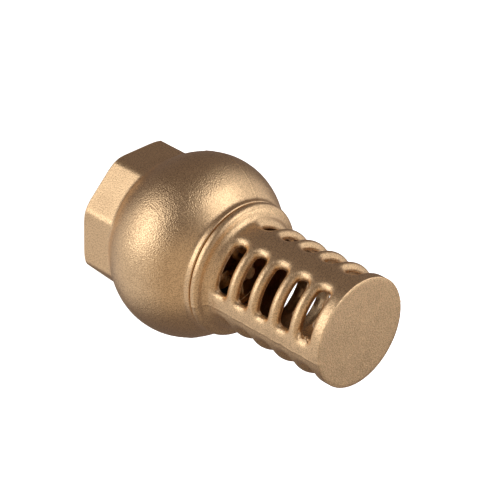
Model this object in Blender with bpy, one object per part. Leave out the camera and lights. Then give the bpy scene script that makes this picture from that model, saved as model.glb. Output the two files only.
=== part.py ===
"""Spring-loaded brass foot valve with its own strainer, G 1 female outlet.

The valve stands on its octagonal outlet face: that face is z = 0, the axis is Z, and the closed
end of the strainer is on top. In use it hangs the other way up on the end of a suction pipe.
Run with: blender --background --python part.py
"""
import math

import bmesh
import bpy
from mathutils import Matrix

MM = 0.001                      # every size below is in millimetres

GAP = 0.3                       # between pieces that touch
RUNNING = 0.1                   # radial clearance of the stem in its guides

# Outlet octagon and its pipe thread (G 1: 33.25 over the crests, 30.29 inside them)
THREAD_R = 15.15
THREAD_LENGTH = 12.6
THREAD_ENTRY = 1.75             # 45 degree lead-in
OUTLET_WALL = 4.85              # thread crests to the flats
FLAT_COUNT = 8
CORNER_RADIUS = 2.0             # rounding of the octagon's corners
OUTLET_LENGTH = 10.3            # outlet face to where the flats run into the bulb
FACE_CHAMFER = 0.88             # corners to the turned chamfer's circle on the outlet face
FACE_CHAMFER_RISE = 0.6

# Bulb that holds the valve chamber
BULB_R = 26.2
BULB_HALF_HEIGHT = 21.7         # the bulb is slightly flattened along the axis
BULB_WALL = 3.8
CHAMBER_FLOOR_RISE = 0.4        # height gained from the guide's pocket to the bulb's wall
CHAMBER_SLOPE = 0.4             # height lost per radius from the neck's bore to the bulb's wall

# Seat ring with the lower stem guide, pressed into the strainer's spigot
SEAT_RING_R = 14.0
SEAT_RING_WALL = 2.6
SEAT_RING_HEIGHT = 5.9
SEAT_PROUD = 0.6                # the ring stands this far out of the spigot
SEAT_LIP_INSET = 1.0            # bore to the middle of the lip
SEAT_LIP_WIDTH = 0.9
SEAT_LIP_HEIGHT = 0.6
SPIDER_ARMS = 4
SPIDER_ARM_WIDTH = 2.0
SPIDER_ARM_HEIGHT = 1.8
LOWER_HUB_WALL = 1.5
LOWER_HUB_LENGTH = 4.4
HUB_CHAMFER = 0.5

# Spigot of the strainer, and the neck of the body that it screws into
SPIGOT_WALL = 1.9
SPIGOT_LENGTH = 6.3
NECK_THREAD_LENGTH = 6.5
RING_POCKET_WIDTH = 1.5         # pocket of the sealing ring at the mouth of the neck
RING_POCKET_DEPTH = 1.75
NECK_WALL = 1.3                 # ring pocket to the outside of the neck
NECK_LIP = 1.9                  # from the bulb's surface to the rim of the neck
NECK_BLEND = 0.7                # softness of the hollow between bulb and lip
NECK_BLEND_REACH = 1.2          # the hollow starts this far before the neck
LIP_ROUNDING = 0.3

# Strainer
FLANGE_SHOULDER = 1.6           # convex radius of the flange
FLANGE_BAND = 0.85              # straight band between the seam and the shoulder
FLANGE_FILLET = 2.6             # concave radius down to the cage
SEAT_LEDGE = 0.5                # step in the bore that the seat ring is pressed up to
CAGE_R = 15.8
CAGE_WALL = 2.3
END_WALL = 3.6
SLOT_ROWS = 4                   # rows of slots around the cage
SLOTS_PER_ROW = 5
SLOT_PITCH = 7.6
SLOT_HEIGHT = 4.2
SLOT_HALF_ARC = math.radians(28.5)
SLOT_FLARE = 1.2                # bevel around the mouth of each slot
FLARE_LIMIT = 0.4               # share of a rib's width that one bevel may take
CAGE_NECK = 3.65                # seam to the first slot pitch
END_RING = 2.4                  # last slot pitch to the closed end
STRAINER_TURN = math.radians(12.2)

# Poppet: stem, disc, gasket, washer and nut
STEM_R = 2.0
STEM_TOP_REACH = 2.0            # past the upper guide's hub
STEM_LOW_REACH = 2.2            # past the lower guide's hub
STEM_CHAMFER = 0.4
GASKET_OVERLAP = 1.4            # gasket past the middle of the seat lip
GASKET_THICKNESS = 1.9
DISC_OVERHANG = 0.5             # disc past the gasket
DISC_THICKNESS = 2.4
DISC_CHAMFER = 0.4
DISC_BOSS_WALL = 1.9
DISC_BOSS_HEIGHT = 2.5
WASHER_CLEARANCE = 1.9          # washer to the seat's bore, for the water
WASHER_THICKNESS = 1.2
NUT_RATIO = 1.75                # across flats over the thread's diameter
NUT_THICKNESS = 2.4
LIFT = 6.0                      # travel of the poppet

# Upper stem guide, which rests on the ledge behind the outlet thread
GUIDE_LEDGE = 1.15
GUIDE_RIM_WIDTH = 3.4
GUIDE_THICKNESS = 1.6
GUIDE_ARMS = 3
GUIDE_ARM_WIDTH = 2.4
GUIDE_HUB_WALL = 1.7
GUIDE_HUB_DROP = 0.9            # the hub stands this far out on the outlet side

# Return spring round the boss and the hub
SPRING_WIRE_R = 0.45
SPRING_CLEARANCE = 1.35         # boss to the inside of the spring
SPRING_TURNS = 5.5
SPRING_CLOSED_SHARE = 0.1       # share of the wire laid flat at each end

# Facets
BODY_SEGMENTS = 48
SMALL_SEGMENTS = 24
RING_SIDES = 8
SPRING_STEPS_PER_TURN = 16
SPRING_SIDES = 6
MERGE = 0.001
SHARP_ANGLE = math.radians(35)

OVERSHOOT = 1.0                 # a cutter past its solid, and an arm into its rim
ARM_STEP = 0.15                 # an arm's faces lie this far inside its rim's or its hub's

# Radii worked out from the sizes above
HALF_FLATS = THREAD_R + OUTLET_WALL
CORNER_R = (HALF_FLATS - CORNER_RADIUS) / math.cos(math.pi / FLAT_COUNT) + CORNER_RADIUS
GUIDE_POCKET_R = THREAD_R + GUIDE_LEDGE
GUIDE_R = GUIDE_POCKET_R - GAP
SEAT_POCKET_R = SEAT_RING_R + GAP
SPIGOT_R = SEAT_POCKET_R + SPIGOT_WALL
NECK_THREAD_R = SPIGOT_R + GAP
RING_POCKET_R = NECK_THREAD_R + RING_POCKET_WIDTH
RING_SECTION_R = (RING_POCKET_R - SPIGOT_R) / 2 - GAP
NECK_R = RING_POCKET_R + NECK_WALL
FLANGE_R = NECK_R
THROAT_R = SEAT_RING_R - SEAT_LEDGE
CAGE_BORE_R = CAGE_R - CAGE_WALL
SEAT_BORE_R = SEAT_RING_R - SEAT_RING_WALL
SEAT_LIP_R = SEAT_BORE_R + SEAT_LIP_INSET
GASKET_R = SEAT_LIP_R + GASKET_OVERLAP
DISC_R = GASKET_R + DISC_OVERHANG
WASHER_R = SEAT_BORE_R - WASHER_CLEARANCE
GUIDE_HOLE_R = STEM_R + RUNNING
GUIDE_HUB_R = GUIDE_HOLE_R + GUIDE_HUB_WALL
LOWER_HUB_R = GUIDE_HOLE_R + LOWER_HUB_WALL
STEM_HOLE_R = STEM_R + GAP
DISC_BOSS_R = STEM_HOLE_R + DISC_BOSS_WALL
HALF_NUT = NUT_RATIO * STEM_R
SPRING_R = DISC_BOSS_R + SPRING_CLEARANCE + SPRING_WIRE_R

# Places along the axis
BULB_Z = OUTLET_LENGTH + BULB_HALF_HEIGHT * math.sqrt(1 - (HALF_FLATS / BULB_R) ** 2)
NECK_Z = BULB_Z + BULB_HALF_HEIGHT * math.sqrt(1 - (NECK_R / BULB_R) ** 2)
RIM_Z = NECK_Z + NECK_LIP - GAP / 2
NECK_BORE_Z = RIM_Z - NECK_THREAD_LENGTH
FLANGE_Z = RIM_Z + GAP
SHOULDER_Z = FLANGE_Z + FLANGE_BAND
CAGE_Z = FLANGE_Z + CAGE_NECK
CAGE_TOP_Z = CAGE_Z + SLOT_PITCH * SLOTS_PER_ROW
END_Z = CAGE_TOP_Z + END_RING
BORE_END_Z = END_Z - END_WALL                        # just past the last slots
SPIGOT_Z = FLANGE_Z - SPIGOT_LENGTH

SEAT_Z = SPIGOT_Z - SEAT_PROUD                       # face of the seat ring
SEAT_END_Z = SEAT_Z + SEAT_RING_HEIGHT
LIP_Z = SEAT_Z - SEAT_LIP_HEIGHT                     # crest of the seat lip
GASKET_Z = LIP_Z - GAP - GASKET_THICKNESS
DISC_Z = GASKET_Z - GAP - DISC_THICKNESS
BOSS_Z = DISC_Z - DISC_BOSS_HEIGHT
WASHER_Z = GASKET_Z + GASKET_THICKNESS + GAP
NUT_Z = WASHER_Z + WASHER_THICKNESS + GAP
LOWER_HUB_Z = SEAT_END_Z - SPIDER_ARM_HEIGHT
LOWER_HUB_END_Z = LOWER_HUB_Z + LOWER_HUB_LENGTH

GUIDE_Z = THREAD_LENGTH + GAP
GUIDE_END_Z = GUIDE_Z + GUIDE_THICKNESS
GUIDE_HUB_Z = GUIDE_Z - GUIDE_HUB_DROP
GUIDE_HUB_END_Z = BOSS_Z - LIFT - GAP                # the boss stops here
CHAMBER_Z = GUIDE_END_Z + GAP
STEM_Z = GUIDE_HUB_Z - STEM_TOP_REACH
STEM_END_Z = LOWER_HUB_END_Z + STEM_LOW_REACH


def bulb_radius(z, wall=0.0):
    """Radius of the bulb's surface at height z, or of its inside, one wall further in."""
    share = (z - BULB_Z) / (BULB_HALF_HEIGHT - wall)
    return (BULB_R - wall) * math.sqrt(max(0.0, 1 - share * share))


def soft_max(a, b, blend):
    """The larger of a and b, with a rounded hollow where they cross."""
    near = max(0.0, 1 - abs(a - b) / blend)
    return max(a, b) + near * near * blend / 4


def octagon_radius(angle):
    """Distance from the axis to the octagon's side; a flat faces -Y."""
    flat_turn = 2 * math.pi / FLAT_COUNT
    inside = (angle + flat_turn / 2) % flat_turn - flat_turn / 2
    return min(HALF_FLATS / math.cos(inside), CORNER_R)


def chamfered_octagon(angle):
    """The octagon on the outlet face, where a turned chamfer takes its corners off."""
    return min(octagon_radius(angle), CORNER_R - FACE_CHAMFER)


def hexagon_radius(angle):
    """Distance from the axis to the nut's side."""
    sixth = math.pi / 3
    return HALF_NUT / math.cos((angle + sixth / 2) % sixth - sixth / 2)


def finish(name, bm, material, turn=0.0):
    """Turn a bmesh in millimetres into a named object with its own material."""
    bmesh.ops.remove_doubles(bm, verts=bm.verts, dist=MERGE)
    bmesh.ops.scale(bm, vec=(MM, MM, MM), verts=bm.verts)
    bmesh.ops.recalc_face_normals(bm, faces=bm.faces)
    mesh = bpy.data.meshes.new(name)
    bm.to_mesh(mesh)
    bm.free()
    mesh.shade_smooth()
    mesh.set_sharp_from_angle(angle=SHARP_ANGLE)
    mesh.materials.append(material)
    thing = bpy.data.objects.new(name, mesh)
    thing.rotation_euler.z = turn
    bpy.context.scene.collection.objects.link(thing)
    return thing


def add_rings(bm, outline, angles):
    """One ring of vertices per outline point; a point's radius may be a function of the angle."""
    rings = []
    for radius, z in outline:
        radii = [radius(a) if callable(radius) else radius for a in angles]
        rings.append([bm.verts.new((r * math.cos(a), r * math.sin(a), z))
                      for r, a in zip(radii, angles)])
    return rings


def bridge(bm, here, there):
    """Quads between two closed loops with as many vertices each."""
    for i in range(len(here)):
        j = (i + 1) % len(here)
        bm.faces.new((here[i], here[j], there[j], there[i]))


def around(segments):
    return [2 * math.pi * i / segments for i in range(segments)]


def turned(outline, segments):
    """A closed outline of radius and height, turned about Z."""
    bm = bmesh.new()
    rings = add_rings(bm, outline, around(segments))
    for ring, following in zip(rings, rings[1:] + rings[:1]):
        bridge(bm, ring, following)
    return bm


def rod(outline, segments):
    """A solid turned piece, its outline without the two points on the axis."""
    bm = bmesh.new()
    rings = add_rings(bm, outline, around(segments))
    for ring, following in zip(rings, rings[1:]):
        bridge(bm, ring, following)
    bm.faces.new(rings[0])
    bm.faces.new(rings[-1])
    return bm


def bar(length, width, low, high, angle):
    """A straight arm from the axis outwards, between two heights."""
    bm = bmesh.new()
    place = (Matrix.Rotation(angle, 4, 'Z') @ Matrix.Translation((length / 2, 0, (low + high) / 2))
             @ Matrix.Diagonal((length, width, high - low, 1)))
    bmesh.ops.create_cube(bm, size=1, matrix=place)
    return bm


def combine(target, others, operation):
    """Boolean the other objects into the target one after another and drop them."""
    for other in others:
        step = target.modifiers.new(operation.lower(), 'BOOLEAN')
        step.operation = operation
        step.solver = 'EXACT'
        step.object = other
        bpy.context.view_layer.update()
        evaluated = target.evaluated_get(bpy.context.evaluated_depsgraph_get())
        mesh = bpy.data.meshes.new_from_object(evaluated)
        target.modifiers.remove(step)
        target.data = mesh
        bpy.data.objects.remove(other)


def principled(name, colour, roughness, metallic):
    material = bpy.data.materials.new(name)
    material.use_nodes = True
    shader = material.node_tree.nodes['Principled BSDF']
    shader.inputs['Base Color'].default_value = (*colour, 1)
    shader.inputs['Roughness'].default_value = roughness
    shader.inputs['Metallic'].default_value = metallic
    return material


def side_or_bulb(z):
    """What stands further out at height z: the octagon's side or the bulb."""
    return lambda angle: max(octagon_radius(angle), bulb_radius(z))


def bulb_or_neck(z):
    return soft_max(bulb_radius(z), NECK_R, NECK_BLEND)


def steps(start, end, count):
    """count heights after start, the last one at end."""
    return [start + (end - start) * i / count for i in range(1, count + 1)]


def make_valve_body(material):
    """Forged body: octagon, bulb and neck outside; thread, chamber and neck bore inside."""
    bulb_steps, lip_steps, chamber_steps = 18, 6, 8
    hollow_z = NECK_Z - NECK_BLEND_REACH
    latitudes = steps(math.asin((OUTLET_LENGTH - BULB_Z) / BULB_HALF_HEIGHT),
                      math.asin((hollow_z - BULB_Z) / BULB_HALF_HEIGHT), bulb_steps)
    outside = [(chamfered_octagon, 0), (octagon_radius, FACE_CHAMFER_RISE),
               (octagon_radius, OUTLET_LENGTH)]
    for latitude in latitudes:
        z = BULB_Z + BULB_HALF_HEIGHT * math.sin(latitude)
        outside.append((side_or_bulb(z) if z < BULB_Z else bulb_or_neck(z), z))
    outside += [(bulb_or_neck(z), z) for z in steps(hollow_z, RIM_Z - LIP_ROUNDING, lip_steps)]
    outside.append((NECK_R - LIP_ROUNDING, RIM_Z))

    ring_pocket_z = RIM_Z - RING_POCKET_DEPTH
    widening = bulb_radius(NECK_BORE_Z, BULB_WALL) - NECK_THREAD_R
    chamber_end = NECK_BORE_Z - widening * CHAMBER_SLOPE
    inside = [(RING_POCKET_R, RIM_Z), (RING_POCKET_R, ring_pocket_z),
              (NECK_THREAD_R, ring_pocket_z), (NECK_THREAD_R, NECK_BORE_Z),
              (bulb_radius(chamber_end, BULB_WALL), chamber_end)]
    inside += [(bulb_radius(z, BULB_WALL), z)
               for z in steps(chamber_end, CHAMBER_Z + CHAMBER_FLOOR_RISE, chamber_steps)]
    inside += [(GUIDE_POCKET_R, CHAMBER_Z), (GUIDE_POCKET_R, THREAD_LENGTH),
               (THREAD_R, THREAD_LENGTH), (THREAD_R, THREAD_ENTRY),
               (THREAD_R + THREAD_ENTRY, 0)]
    return finish('valve_body', turned(outside + inside, BODY_SEGMENTS), material)


def cage_radius(z):
    """Outside of the strainer above the seam: band, shoulder, fillet and cage."""
    shoulder_r = FLANGE_R - FLANGE_SHOULDER
    fillet_r = CAGE_R + FLANGE_FILLET
    reach = FLANGE_SHOULDER + FLANGE_FILLET
    fillet_z = SHOULDER_Z + math.sqrt(reach ** 2 - (fillet_r - shoulder_r) ** 2)
    meet_z = SHOULDER_Z + (fillet_z - SHOULDER_Z) * FLANGE_SHOULDER / reach
    if z <= SHOULDER_Z:
        return FLANGE_R
    if z <= meet_z:
        return shoulder_r + math.sqrt(max(0.0, FLANGE_SHOULDER ** 2 - (z - SHOULDER_Z) ** 2))
    if z < fillet_z:
        return fillet_r - math.sqrt(max(0.0, FLANGE_FILLET ** 2 - (z - fillet_z) ** 2))
    return CAGE_R


def pitch_outline(side_steps, end_steps):
    """The edge of one slot's pitch as (angle, z) about its centre, anticlockwise from +angle."""
    half_arc = math.pi / SLOT_ROWS
    half_pitch = SLOT_PITCH / 2
    quarter = [(half_arc, half_pitch * i / end_steps) for i in range(end_steps)]
    quarter += [(half_arc * (1 - i / side_steps), half_pitch) for i in range(side_steps)]
    return all_quarters(quarter, (0.0, half_pitch))


def slot_outline(grow, side_steps, end_steps):
    """A slot's edge, grown outwards by grow, with one point for each of pitch_outline's."""
    half_height = SLOT_HEIGHT / 2 + grow
    half_arc = SLOT_HALF_ARC + grow / CAGE_R
    straight = half_arc - half_height / CAGE_R
    arc_steps = 2 * end_steps
    quarter = [(straight + half_height / CAGE_R * math.cos(math.pi / 2 * i / arc_steps),
                half_height * math.sin(math.pi / 2 * i / arc_steps)) for i in range(arc_steps)]
    straight_steps = side_steps - end_steps
    quarter += [(straight * (1 - i / straight_steps), half_height)
                for i in range(straight_steps)]
    return all_quarters(quarter, (0.0, half_height))


def all_quarters(quarter, last):
    """Mirror a quarter outline into a closed one."""
    points = quarter + [last]
    points += [(-a, z) for a, z in reversed(quarter)]
    points += [(-a, -z) for a, z in quarter[1:]]
    points += [(a, -z) for a, z in [last] + list(reversed(quarter[1:]))]
    return points


def make_strainer(material):
    """Cage with rows of slots, closed end, flange, and the spigot that screws into the neck."""
    side_steps, end_steps = 5, 2
    flare = min(SLOT_FLARE, FLARE_LIMIT * (SLOT_PITCH - SLOT_HEIGHT))
    edge = pitch_outline(side_steps, end_steps)
    mouth = slot_outline(flare, side_steps, end_steps)
    hole = slot_outline(0.0, side_steps, end_steps)
    bm = bmesh.new()

    def point(angle, r, z):
        return bm.verts.new((r * math.cos(angle), r * math.sin(angle), z))

    for row in range(SLOT_ROWS):
        row_angle = -math.pi / 2 + 2 * math.pi * row / SLOT_ROWS
        for slot in range(SLOTS_PER_ROW):
            slot_z = CAGE_Z + SLOT_PITCH * (slot + 0.5)
            loops = [[point(row_angle + a, cage_radius(slot_z + z), slot_z + z) for a, z in edge],
                     [point(row_angle + a, cage_radius(slot_z + z), slot_z + z) for a, z in mouth],
                     [point(row_angle + a, CAGE_R - flare, slot_z + z) for a, z in hole],
                     [point(row_angle + a, CAGE_BORE_R, slot_z + z) for a, z in hole],
                     [point(row_angle + a, CAGE_BORE_R, min(slot_z + z, BORE_END_Z))
                      for a, z in edge]]
            for loop, following in zip(loops, loops[1:]):
                bridge(bm, loop, following)

    segments = 2 * side_steps * SLOT_ROWS
    first_angle = -math.pi / 2 + math.pi / SLOT_ROWS
    angles = [first_angle + a for a in around(segments)]
    band_steps = 7
    pocket_end = SEAT_END_Z + GAP
    flange = [(cage_radius(z), z) for z in [CAGE_Z] + steps(CAGE_Z, SHOULDER_Z, band_steps)]
    flange += [(FLANGE_R, FLANGE_Z + LIP_ROUNDING), (FLANGE_R - LIP_ROUNDING, FLANGE_Z),
               (SPIGOT_R, FLANGE_Z), (SPIGOT_R, SPIGOT_Z), (SEAT_POCKET_R, SPIGOT_Z),
               (SEAT_POCKET_R, pocket_end), (THROAT_R, pocket_end), (THROAT_R, CAGE_Z),
               (CAGE_BORE_R, CAGE_Z)]
    rings = add_rings(bm, flange, angles)
    for ring, following in zip(rings, rings[1:]):
        bridge(bm, ring, following)
    foot, rim = add_rings(bm, [(CAGE_R, CAGE_TOP_Z), (CAGE_R, END_Z)], angles)
    bridge(bm, foot, rim)
    bm.faces.new(rim)
    bm.faces.new(add_rings(bm, [(CAGE_BORE_R, BORE_END_Z)], angles)[0])
    return finish('strainer', bm, material, turn=STRAINER_TURN)


def make_o_ring(material):
    """Sealing ring between the neck and the spigot, just under the flange."""
    centre_r = (SPIGOT_R + RING_POCKET_R) / 2
    centre_z = RIM_Z - RING_POCKET_DEPTH / 2
    section = [(centre_r + RING_SECTION_R * math.cos(a), centre_z + RING_SECTION_R * math.sin(a))
               for a in around(RING_SIDES)]
    return finish('o_ring', turned(section, BODY_SEGMENTS), material)


def make_wheel(ring, arms, hub_outline, material):
    """Join a rim, its arms and its hub into one piece, and bore the hub for the stem."""
    arm_objects = [finish('arm', arm, material) for arm in arms]
    hub = finish('hub', turned(hub_outline, SMALL_SEGMENTS), material)
    low = min(z for r, z in hub_outline) - OVERSHOOT
    high = max(z for r, z in hub_outline) + OVERSHOOT
    bore = rod([(GUIDE_HOLE_R, low), (GUIDE_HOLE_R, high)], SMALL_SEGMENTS)
    combine(ring, arm_objects + [hub], 'UNION')
    combine(ring, [finish('bore', bore, material)], 'DIFFERENCE')
    return ring


def make_seat_ring(material):
    """Ring with the raised seat lip, and four arms that carry the lower stem guide."""
    lip_in = SEAT_LIP_R - SEAT_LIP_WIDTH / 2
    lip_out = SEAT_LIP_R + SEAT_LIP_WIDTH / 2
    outline = [(SEAT_RING_R, SEAT_Z), (SEAT_RING_R, SEAT_END_Z), (SEAT_BORE_R, SEAT_END_Z),
               (SEAT_BORE_R, SEAT_Z), (lip_in, SEAT_Z), (lip_in, LIP_Z), (lip_out, LIP_Z),
               (lip_out, SEAT_Z)]
    ring = finish('seat_ring', turned(outline, BODY_SEGMENTS), material)
    hub = [(LOWER_HUB_R, LOWER_HUB_Z), (LOWER_HUB_R, LOWER_HUB_END_Z - HUB_CHAMFER),
           (LOWER_HUB_R - HUB_CHAMFER, LOWER_HUB_END_Z), (GUIDE_HOLE_R, LOWER_HUB_END_Z),
           (GUIDE_HOLE_R, LOWER_HUB_Z)]
    arms = [bar(SEAT_BORE_R + OVERSHOOT, SPIDER_ARM_WIDTH, LOWER_HUB_Z + ARM_STEP,
                SEAT_END_Z - ARM_STEP, STRAINER_TURN + 2 * math.pi * (i + 0.5) / SPIDER_ARMS)
            for i in range(SPIDER_ARMS)]
    return make_wheel(ring, arms, hub, material)


def make_upper_guide(material):
    """Rim, three arms and the hub that guides the stem and stops the poppet."""
    rim_in = GUIDE_R - GUIDE_RIM_WIDTH
    rim_end = GUIDE_END_Z - ARM_STEP
    outline = [(GUIDE_R, GUIDE_Z), (GUIDE_R, rim_end), (rim_in, rim_end), (rim_in, GUIDE_Z)]
    rim = finish('upper_guide', turned(outline, BODY_SEGMENTS), material)
    hub = [(GUIDE_HUB_R, GUIDE_HUB_Z), (GUIDE_HUB_R, GUIDE_HUB_END_Z),
           (GUIDE_HOLE_R, GUIDE_HUB_END_Z), (GUIDE_HOLE_R, GUIDE_HUB_Z)]
    arms = [bar(rim_in + OVERSHOOT, GUIDE_ARM_WIDTH, GUIDE_Z + ARM_STEP, GUIDE_END_Z,
                math.pi / 2 + 2 * math.pi * i / GUIDE_ARMS) for i in range(GUIDE_ARMS)]
    return make_wheel(rim, arms, hub, material)


def make_flat_ring(name, radius, z, thickness, material):
    """A flat ring round the stem."""
    outline = [(radius, z), (radius, z + thickness), (STEM_HOLE_R, z + thickness),
               (STEM_HOLE_R, z)]
    segments = SMALL_SEGMENTS if callable(radius) else BODY_SEGMENTS
    return finish(name, turned(outline, segments), material)


def make_poppet(brass, rubber):
    """Stem, disc, gasket, washer and nut, which lift together."""
    end_r = STEM_R - STEM_CHAMFER
    stem = rod([(end_r, STEM_Z), (STEM_R, STEM_Z + STEM_CHAMFER),
                (STEM_R, STEM_END_Z - STEM_CHAMFER), (end_r, STEM_END_Z)], SMALL_SEGMENTS)
    finish('poppet_stem', stem, brass['poppet_stem'])
    disc_end = DISC_Z + DISC_THICKNESS
    disc = [(DISC_BOSS_R, BOSS_Z), (DISC_BOSS_R, DISC_Z), (DISC_R - DISC_CHAMFER, DISC_Z),
            (DISC_R, DISC_Z + DISC_CHAMFER), (DISC_R, disc_end), (STEM_HOLE_R, disc_end),
            (STEM_HOLE_R, BOSS_Z)]
    finish('poppet_disc', turned(disc, BODY_SEGMENTS), brass['poppet_disc'])
    make_flat_ring('poppet_gasket', GASKET_R, GASKET_Z, GASKET_THICKNESS, rubber)
    make_flat_ring('gasket_washer', WASHER_R, WASHER_Z, WASHER_THICKNESS, brass['gasket_washer'])
    make_flat_ring('stem_nut', hexagon_radius, NUT_Z, NUT_THICKNESS, brass['stem_nut'])


def make_spring(material):
    """Compression spring from the upper guide's arms to the poppet disc."""
    low = GUIDE_END_Z + GAP + SPRING_WIRE_R
    high = DISC_Z - GAP - SPRING_WIRE_R
    count = round(SPRING_TURNS * SPRING_STEPS_PER_TURN)
    bm = bmesh.new()
    rings = []
    for i in range(count + 1):
        share = i / count
        turn = 2 * math.pi * SPRING_TURNS * share
        rise = (share - SPRING_CLOSED_SHARE) / (1 - 2 * SPRING_CLOSED_SHARE)
        z = low + (high - low) * min(1.0, max(0.0, rise))
        ring = []
        for a in around(SPRING_SIDES):
            r = SPRING_R + SPRING_WIRE_R * math.cos(a)
            ring.append(bm.verts.new((r * math.cos(turn), r * math.sin(turn),
                                      z + SPRING_WIRE_R * math.sin(a))))
        rings.append(ring)
    for ring, following in zip(rings, rings[1:]):
        bridge(bm, ring, following)
    bm.faces.new(rings[0])
    bm.faces.new(rings[-1])
    return finish('return_spring', bm, material)


for old in list(bpy.data.objects):
    bpy.data.objects.remove(old)

make_valve_body(principled('valve_body', (0.56, 0.37, 0.19), 0.42, 1.0))
make_strainer(principled('strainer', (0.56, 0.37, 0.19), 0.42, 1.0))
make_o_ring(principled('o_ring', (0.02, 0.02, 0.02), 0.6, 0.0))
make_seat_ring(principled('seat_ring', (0.72, 0.52, 0.24), 0.3, 1.0))
make_upper_guide(principled('upper_guide', (0.72, 0.52, 0.24), 0.3, 1.0))
brass_pieces = ('poppet_stem', 'poppet_disc', 'gasket_washer', 'stem_nut')
make_poppet({name: principled(name, (0.72, 0.52, 0.24), 0.28, 1.0) for name in brass_pieces},
            principled('poppet_gasket', (0.02, 0.02, 0.02), 0.6, 0.0))
make_spring(principled('return_spring', (0.6, 0.6, 0.58), 0.25, 1.0))
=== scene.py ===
"""Brass foot valve with its own strainer, standing on its octagonal outlet face.

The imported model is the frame: the axis is Z, the outlet face is z = 0 and the strainer is on top.
Every length below is in millimetres until a mesh is made.
"""
import math

import bmesh
import bpy
import numpy as np
from mathutils import Matrix, Vector, noise


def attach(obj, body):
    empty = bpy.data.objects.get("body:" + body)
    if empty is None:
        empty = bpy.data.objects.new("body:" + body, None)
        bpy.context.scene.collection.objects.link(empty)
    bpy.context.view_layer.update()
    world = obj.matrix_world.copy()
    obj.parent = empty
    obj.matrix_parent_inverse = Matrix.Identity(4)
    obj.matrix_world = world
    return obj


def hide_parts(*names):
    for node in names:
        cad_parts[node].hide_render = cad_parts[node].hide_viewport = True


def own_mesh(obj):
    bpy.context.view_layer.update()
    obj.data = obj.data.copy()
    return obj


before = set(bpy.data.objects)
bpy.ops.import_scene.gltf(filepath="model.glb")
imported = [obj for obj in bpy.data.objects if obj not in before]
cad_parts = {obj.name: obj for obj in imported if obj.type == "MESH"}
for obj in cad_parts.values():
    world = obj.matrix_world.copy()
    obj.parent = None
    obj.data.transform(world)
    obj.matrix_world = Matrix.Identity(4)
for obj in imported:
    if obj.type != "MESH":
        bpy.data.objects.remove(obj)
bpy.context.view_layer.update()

MM = 0.001

# ------------------------------------------------------------
# The studio: a camera above and in front of the strainer's closed end, rolled so that the valve
# points down to the right; a white floor under the outlet face; large soft boxes all round.
# ------------------------------------------------------------
CAMERA_AZIMUTH = math.radians(5.27)
CAMERA_ELEVATION = math.radians(36.6)
CAMERA_ROLL = math.radians(118.2)
CAMERA_DISTANCE = 704.0
CAMERA_AIM = Vector((-5.36, -1.3, 41.57))
LENS = 187.9
BOX_DISTANCE = 1.2              # metres
COOL = (1.0, 1.01, 1.04)
WARM = (1.0, 0.87, 0.7)         # light sent back by the table

sideways = Vector((math.cos(CAMERA_AZIMUTH), math.sin(CAMERA_AZIMUTH), 0))
backwards = Vector((math.sin(CAMERA_AZIMUTH) * math.cos(CAMERA_ELEVATION),
                    -math.cos(CAMERA_AZIMUTH) * math.cos(CAMERA_ELEVATION),
                    math.sin(CAMERA_ELEVATION)))
upwards = backwards.cross(sideways)
camera_right = sideways * math.cos(CAMERA_ROLL) + upwards * math.sin(CAMERA_ROLL)
camera_up = upwards * math.cos(CAMERA_ROLL) - sideways * math.sin(CAMERA_ROLL)

camera_data = bpy.data.cameras.new('camera')
camera_data.lens = LENS
camera_data.clip_end = 100
camera = bpy.data.objects.new('camera', camera_data)
turn = Matrix((camera_right, camera_up, backwards)).transposed().to_4x4()
camera.matrix_world = Matrix.Translation((CAMERA_AIM + backwards * CAMERA_DISTANCE) * MM) @ turn
bpy.context.scene.collection.objects.link(camera)
bpy.context.scene.camera = camera


def soft_box(name, right, up, towards, size, power, colour=COOL):
    """A square lamp, placed as seen from the camera, that faces the valve."""
    direction = (camera_right * right + camera_up * up + backwards * towards).normalized()
    lamp = bpy.data.lights.new(name, 'AREA')
    lamp.shape = 'SQUARE'
    lamp.size = size
    lamp.energy = power
    lamp.color = colour
    thing = bpy.data.objects.new(name, lamp)
    thing.matrix_world = (Matrix.Translation(direction * BOX_DISTANCE + CAMERA_AIM * MM)
                          @ direction.to_track_quat('Z', 'Y').to_matrix().to_4x4())
    bpy.context.scene.collection.objects.link(thing)


soft_box('left_key', -0.82, 0.31, 0.48, 1.0, 4.9)
soft_box('left_wash', -0.98, -0.17, -0.05, 2.2, 8)
soft_box('right_key', 0.65, 0.56, 0.51, 0.9, 4.0)
soft_box('right_wash', 0.93, 0.36, -0.07, 1.7, 6)
soft_box('right_strip', 0.94, -0.31, 0.13, 0.5, 2.4)
soft_box('low_wash', -0.04, -0.71, 0.7, 2.2, 5.6, WARM)

WORLD_GLOW = 0.165              # what the brass mirrors where no box stands
WORLD_COLOUR = (1.0, 0.82, 0.78, 1)
world = bpy.data.worlds.new('studio')
world.use_nodes = True
world_nodes, world_links = world.node_tree.nodes, world.node_tree.links
glow = world_nodes['Background']
glow.inputs['Color'].default_value = WORLD_COLOUR
glow.inputs['Strength'].default_value = WORLD_GLOW
backdrop = world_nodes.new('ShaderNodeBackground')
backdrop.inputs['Color'].default_value = (1, 1, 1, 1)
seen = world_nodes.new('ShaderNodeLightPath')
choose = world_nodes.new('ShaderNodeMixShader')
world_links.new(seen.outputs['Is Camera Ray'], choose.inputs[0])
world_links.new(glow.outputs[0], choose.inputs[1])
world_links.new(backdrop.outputs[0], choose.inputs[2])
world_links.new(choose.outputs[0], world_nodes['World Output'].inputs['Surface'])
bpy.context.scene.world = world
bpy.context.scene.view_settings.view_transform = 'Standard'

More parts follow.
